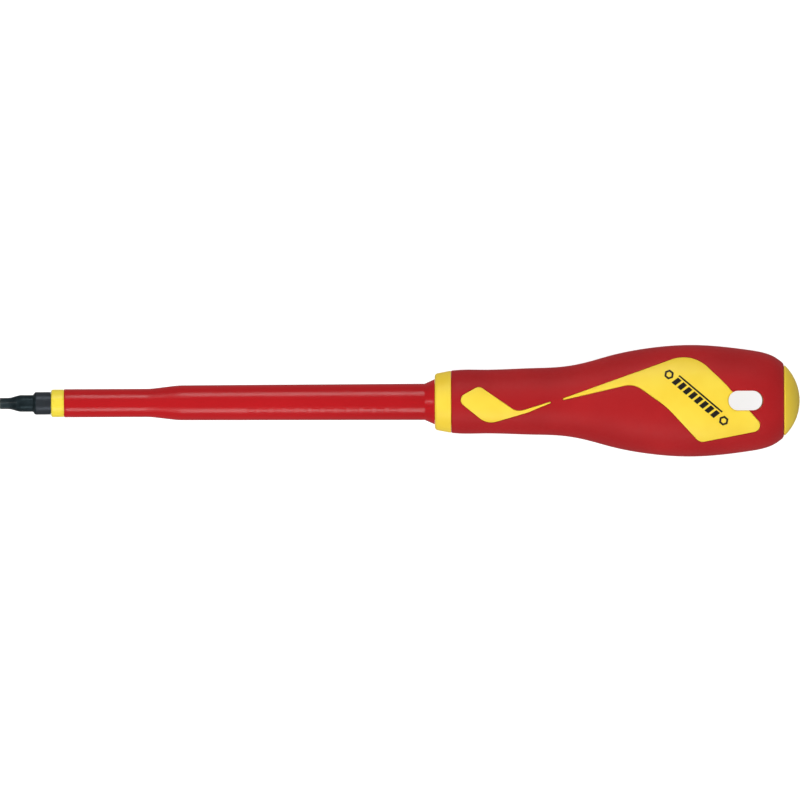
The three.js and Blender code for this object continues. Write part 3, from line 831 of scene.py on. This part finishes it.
def blackened_steel():
    """Turned and milled tool steel with a black phosphate finish, rubbed bright on its working edges.

    The finish grew in soft blotches 1.6 mm wide, which vary in tone and gloss. The shank behind the
    shoulder was ground before blackening, so it is greyer. Turning left lines round the shaft 0.09 mm
    wide, coarser than real ones so that they show.
    """
    material, shader, place = new_material("phosphated_tool_steel", {"Roughness": 0.36, "Metallic": 0.8})
    blotches = add(material, "ShaderNodeTexNoise", {"Vector": place, "Scale": lumps(1.6), "Detail": 4})
    black = add(material, "ShaderNodeValToRGB", {"Fac": blotches.outputs["Fac"]},
                stops=[(0.3, "29363b"), (0.5, "334146"), (0.7, "3d4c52")])
    ground = add(material, "ShaderNodeAttribute", attribute_name="ground")
    greyer = add(material, "ShaderNodeMix", {
        "Factor": ground.outputs["Fac"], 6: black.outputs["Color"], 7: linear("4f555c"),
    }, data_type="RGBA")
    worn = add(material, "ShaderNodeAttribute", attribute_name="worn")
    scuffs = add(material, "ShaderNodeTexNoise", {"Vector": place, "Scale": lumps(0.35), "Detail": 2})
    rubbed = add(material, "ShaderNodeMath", {0: worn.outputs["Fac"], 1: scuffs.outputs["Fac"]},
                 operation="MULTIPLY")
    add(material, "ShaderNodeMix", {
        "Factor": rubbed.outputs[0], 6: greyer.outputs[2], 7: linear("6a7273"),
    }, feeds=shader.inputs["Base Color"], data_type="RGBA")
    add(material, "ShaderNodeMapRange", {
        "Value": blotches.outputs["Fac"], "From Min": 0.3, "From Max": 0.7, "To Min": 0.3, "To Max": 0.44,
    }, feeds=shader.inputs["Roughness"])
    round_shaft = add(material, "ShaderNodeMapping", {"Vector": place, "Scale": (1, 1 / 30, 1 / 30)})
    lines = add(material, "ShaderNodeTexNoise", {
        "Vector": round_shaft.outputs["Vector"], "Scale": lumps(0.09), "Detail": 2,
    })
    add(material, "ShaderNodeBump", {
        "Height": lines.outputs["Fac"], "Distance": 0.004 * MM, "Strength": 1,
    }, feeds=shader.inputs["Normal"])
    return material


def yellow_insulation():
    """Extruded nylon of the inner layer: plain yellow with a soft gloss and faint 0.5 mm ripples."""
    material, shader, place = new_material("extruded_yellow_nylon", {"Roughness": 0.34})
    tone = add(material, "ShaderNodeTexNoise", {"Vector": place, "Scale": lumps(6), "Detail": 2})
    add(material, "ShaderNodeValToRGB", {"Fac": tone.outputs["Fac"]}, feeds=shader.inputs["Base Color"],
        stops=[(0.3, "f8df40"), (0.7, "fce44a")])
    ripples = add(material, "ShaderNodeTexNoise", {"Vector": place, "Scale": lumps(0.5), "Detail": 2})
    add(material, "ShaderNodeBump", {
        "Height": ripples.outputs["Fac"], "Distance": 0.006 * MM, "Strength": 1,
    }, feeds=shader.inputs["Normal"])
    return material


def red_insulation():
    """Moulded nylon of the outer layer: glossy red, its tone drawn out along the flow of the melt.

    The gloss varies in 2.5 mm patches, and the face has a very shallow 0.35 mm grain.
    """
    material, shader, place = new_material("moulded_red_nylon", {"Roughness": 0.27})
    drawn_out = add(material, "ShaderNodeMapping", {"Vector": place, "Scale": (1 / 3, 1, 1)})
    tone = add(material, "ShaderNodeTexNoise", {
        "Vector": drawn_out.outputs["Vector"], "Scale": lumps(14), "Detail": 2,
    })
    add(material, "ShaderNodeValToRGB", {"Fac": tone.outputs["Fac"]}, feeds=shader.inputs["Base Color"],
        stops=[(0.3, "b80f17"), (0.7, "c0131a")])
    patches = add(material, "ShaderNodeTexNoise", {"Vector": place, "Scale": lumps(2.5), "Detail": 2})
    add(material, "ShaderNodeMapRange", {
        "Value": patches.outputs["Fac"], "From Min": 0.3, "From Max": 0.7, "To Min": 0.21, "To Max": 0.26,
    }, feeds=shader.inputs["Roughness"])
    grain = add(material, "ShaderNodeTexNoise", {"Vector": place, "Scale": lumps(0.35), "Detail": 2})
    add(material, "ShaderNodeBump", {
        "Height": grain.outputs["Fac"], "Distance": 0.0015 * MM, "Strength": 1,
    }, feeds=shader.inputs["Normal"])
    return material


def yellow_plastic():
    """Moulded polypropylene of the core, inlays, collar and cap, satin from a mould with a 0.16 mm grain."""
    material, shader, place = new_material("moulded_yellow_polypropylene", {"Roughness": 0.42})
    tone = add(material, "ShaderNodeTexNoise", {"Vector": place, "Scale": lumps(9), "Detail": 2})
    add(material, "ShaderNodeValToRGB", {"Fac": tone.outputs["Fac"]}, feeds=shader.inputs["Base Color"],
        stops=[(0.3, "fad53b"), (0.7, "fedf48")])
    grain = add(material, "ShaderNodeTexNoise", {"Vector": place, "Scale": lumps(0.16), "Detail": 3})
    add(material, "ShaderNodeBump", {
        "Height": grain.outputs["Fac"], "Distance": 0.008 * MM, "Strength": 1,
    }, feeds=shader.inputs["Normal"])
    return material


def soft_grip_rubber():
    """Moulded soft-touch elastomer: matt red with a 0.22 mm grain, uneven gloss and a faint uneven tone."""
    material, shader, place = new_material("moulded_soft_touch_elastomer", {
        "Roughness": 0.55, "Specular IOR Level": 0.45, "Sheen Weight": 0.02,
    })
    tone = add(material, "ShaderNodeTexNoise", {"Vector": place, "Scale": lumps(16), "Detail": 3})
    add(material, "ShaderNodeValToRGB", {"Fac": tone.outputs["Fac"]}, feeds=shader.inputs["Base Color"],
        stops=[(0.3, "a9151a"), (0.7, "b51a1e")])
    patches = add(material, "ShaderNodeTexNoise", {"Vector": place, "Scale": lumps(1.1), "Detail": 4})
    add(material, "ShaderNodeMapRange", {
        "Value": patches.outputs["Fac"], "From Min": 0.3, "From Max": 0.7, "To Min": 0.5, "To Max": 0.6,
    }, feeds=shader.inputs["Roughness"])
    grain = add(material, "ShaderNodeTexNoise", {"Vector": place, "Scale": lumps(0.22), "Detail": 4})
    add(material, "ShaderNodeBump", {
        "Height": grain.outputs["Fac"], "Distance": 0.016 * MM, "Strength": 1,
    }, feeds=shader.inputs["Normal"])
    return material


def printed_ink():
    """Pad-printed black ink, a little glossier than the face under it and faintly mottled."""
    material, shader, place = new_material("pad_printed_black_ink", {"Roughness": 0.38})
    mottle = add(material, "ShaderNodeTexNoise", {"Vector": place, "Scale": lumps(0.8), "Detail": 2})
    add(material, "ShaderNodeValToRGB", {"Fac": mottle.outputs["Fac"]}, feeds=shader.inputs["Base Color"],
        stops=[(0.3, "141414"), (0.7, "1c1b1a")])
    return material


def backlit_board():
    """Pale acrylic board, lit from below so that it stays pale where the tool shades it."""
    material, shader, place = new_material("backlit_pale_acrylic", {
        "Roughness": 0.9, "Specular IOR Level": 0.1, "Emission Color": linear("ffffff"),
        "Emission Strength": 0.86,
    })
    tone = add(material, "ShaderNodeTexNoise", {"Vector": place, "Scale": lumps(120), "Detail": 2})
    add(material, "ShaderNodeValToRGB", {"Fac": tone.outputs["Fac"]}, feeds=shader.inputs["Base Color"],
        stops=[(0.3, "9c9c9b"), (0.7, "a5a5a4")])
    return material


def wear(piece, material):
    """Gives a piece its finish."""
    piece.data.materials.clear()
    piece.data.materials.append(material)


steel, ring_yellow, sleeve_red = blackened_steel(), yellow_insulation(), red_insulation()
hard_yellow, soft_red = yellow_plastic(), soft_grip_rubber()

wear(blade(), steel)
wear(inner_insulation(), ring_yellow)
wear(outer_insulation(), sleeve_red)
wear(sleeve_marks(), sleeve_red)
wear(front_collar(), hard_yellow)
wear(handle_core(), hard_yellow)
wear(soft_grip(), soft_red)
for pad in [*inlays("front", WINDOWS[0]), *inlays("rear", WINDOWS[1])]:
    wear(pad, hard_yellow)
wear(end_cap(), hard_yellow)
wear(printed_row(), printed_ink())


# ---------- Floor, light and camera ----------
MIDDLE = Vector(to_frame([115, 0, 0]))      # halfway along the tool, on the shaft's axis


def scenery(name, points, faces):
    """A backlit piece of the studio, in metres. It neither lights nor shades the tool."""
    mesh = bpy.data.meshes.new(name)
    mesh.from_pydata(points, [], faces)
    piece = bpy.data.objects.new(name, mesh)
    bpy.context.scene.collection.objects.link(piece)
    wear(piece, backlit_board())
    piece.visible_diffuse = False
    piece.visible_glossy = False
    piece.visible_shadow = False


def floor():
    """Wide flat board that the tool lies on."""
    scenery("floor", [(-6, -6, 0), (6, -6, 0), (6, 6, 0), (-6, 6, 0)], [(0, 1, 2, 3)])


def backdrop():
    """Wide pale dome round the floor, so that low views end in it: a half sphere by height and turn."""
    rise, turn = np.meshgrid(
        np.linspace(-0.02, 1, 16) * math.pi / 2, np.arange(48) * math.pi / 24, indexing="ij",
    )
    points = 14 * np.stack([
        np.cos(rise) * np.cos(turn), np.cos(rise) * np.sin(turn), np.sin(rise),
    ], axis=-1).reshape(-1, 3)
    scenery("backdrop", points.tolist(), grid_faces(16, 48).tolist())


def softbox(name, azimuth, elevation, away, size, power, along=0.0, glossy=True):
    """Soft light that looks at the tool's middle from an azimuth and elevation in degrees.

    Azimuth 0 is towards the handle's end and 90 towards +Y. A light that isn't glossy gives tone but
    no reflection.
    """
    light = bpy.data.lights.new(name, "AREA")
    light.shape, light.energy = "RECTANGLE", power
    light.size, light.size_y = size
    lamp = bpy.data.objects.new(name, light)
    turn, raised = math.radians(azimuth), math.radians(elevation)
    level = math.cos(raised)
    toward = Vector((level * math.cos(turn), level * math.sin(turn), math.sin(raised)))
    lamp.location = MIDDLE + away * toward + Vector((along, 0, 0))
    lamp.rotation_euler = toward.to_track_quat("Z", "Y").to_euler()
    lamp.visible_camera = False
    lamp.visible_glossy = glossy
    bpy.context.scene.collection.objects.link(lamp)


def camera():
    """Very long lens straight above the tool, its frame as wide as the tool is long."""
    lens = bpy.data.cameras.new("camera")
    lens.lens, lens.sensor_width = 1500, 36
    lens.clip_start, lens.clip_end = 0.1, 80
    eye = bpy.data.objects.new("camera", lens)
    height = (cad_high[0] - cad_low[0]) * lens.lens / lens.sensor_width
    eye.location = MIDDLE + Vector((0.0001, 0.00055, height))
    eye.rotation_euler = (0, 0, math.radians(-0.23))
    bpy.context.scene.collection.objects.link(eye)
    bpy.context.scene.camera = eye


def world_light():
    """Even pale light from all round."""
    world = bpy.data.worlds.new("studio")
    world.use_nodes = True
    world.node_tree.nodes["Background"].inputs["Color"].default_value = linear("ffffff")
    world.node_tree.nodes["Background"].inputs["Strength"].default_value = 0.2
    bpy.context.scene.world = world


floor()
backdrop()
softbox("fill_far", 90, 36, 2.0, (1.1, 0.9), 24, along=-0.42, glossy=False)
softbox("fill_near", -90, 38, 2.0, (1.1, 0.9), 31, along=-0.42, glossy=False)
softbox("fill_cap", 0, 20, 2.0, (0.6, 0.6), 9, glossy=False)
softbox("strip_far", 90, 34, 2.5, (0.2, 0.95), 2.8, along=-0.05)
softbox("strip_near", -90, 34, 2.5, (0.2, 0.95), 3.3, along=-0.05)
softbox("tip_end", 180, 41, 2.5, (0.3, 0.3), 2.4)
world_light()
camera()
bpy.context.scene.view_settings.view_transform = "Standard"
